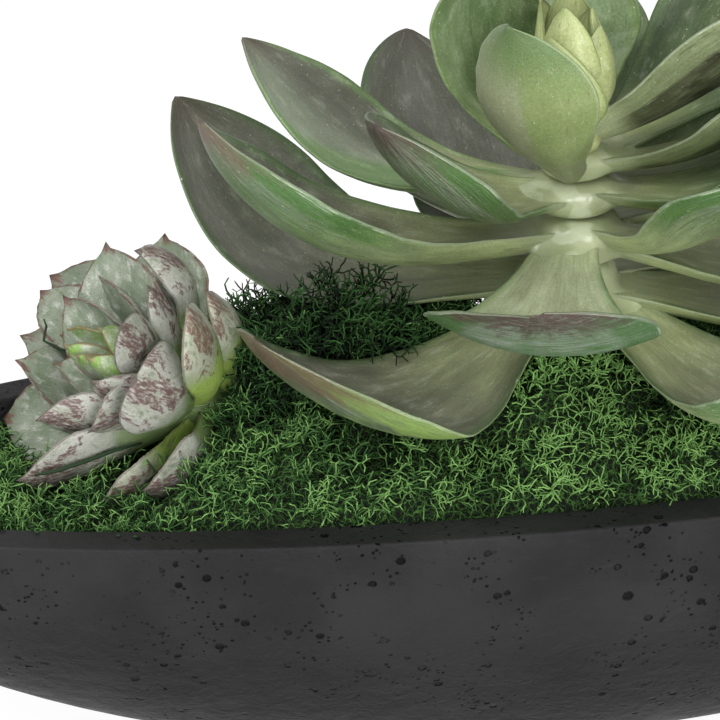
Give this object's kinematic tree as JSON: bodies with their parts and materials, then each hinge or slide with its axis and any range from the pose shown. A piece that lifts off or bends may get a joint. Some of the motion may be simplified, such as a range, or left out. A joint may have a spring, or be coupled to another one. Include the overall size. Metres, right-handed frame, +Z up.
{
  "type": "succulent dish garden",
  "caption": "Long oval dish garden: a dark concrete bowl filled with green moss, planted with a large open succulent rosette and small fat-leaved rosettes towards its ends.",
  "frame": {"origin": "middle of the bowl's flat base, at the surface that it stands on", "axes": "+Z up, +X along the bowl's long axis towards the end that the picture cuts off, +Y away from the viewer"},
  "size_m": [0.588, 0.2657, 0.2824],
  "materials": {
    "bowl": "matte",
    "foam": "matte",
    "moss": "matte",
    "stem": "satin",
    "leaf": "satin",
    "bud": "satin",
    "small_leaf": "satin"
  },
  "bodies": {
    "root": {"bowl": "bowl", "foam_block": "foam", "moss_bed": "moss", "stem_large": "stem", "whorl_1": "leaf", "whorl_2": "leaf", "whorl_3": "leaf", "whorl_4": "leaf", "bud": "bud", "rosette_small_left": "small_leaf", "rosette_small_right": "small_leaf", "stem_small_left": "stem", "stem_small_right": "stem"}
  },
  "joints": []
}
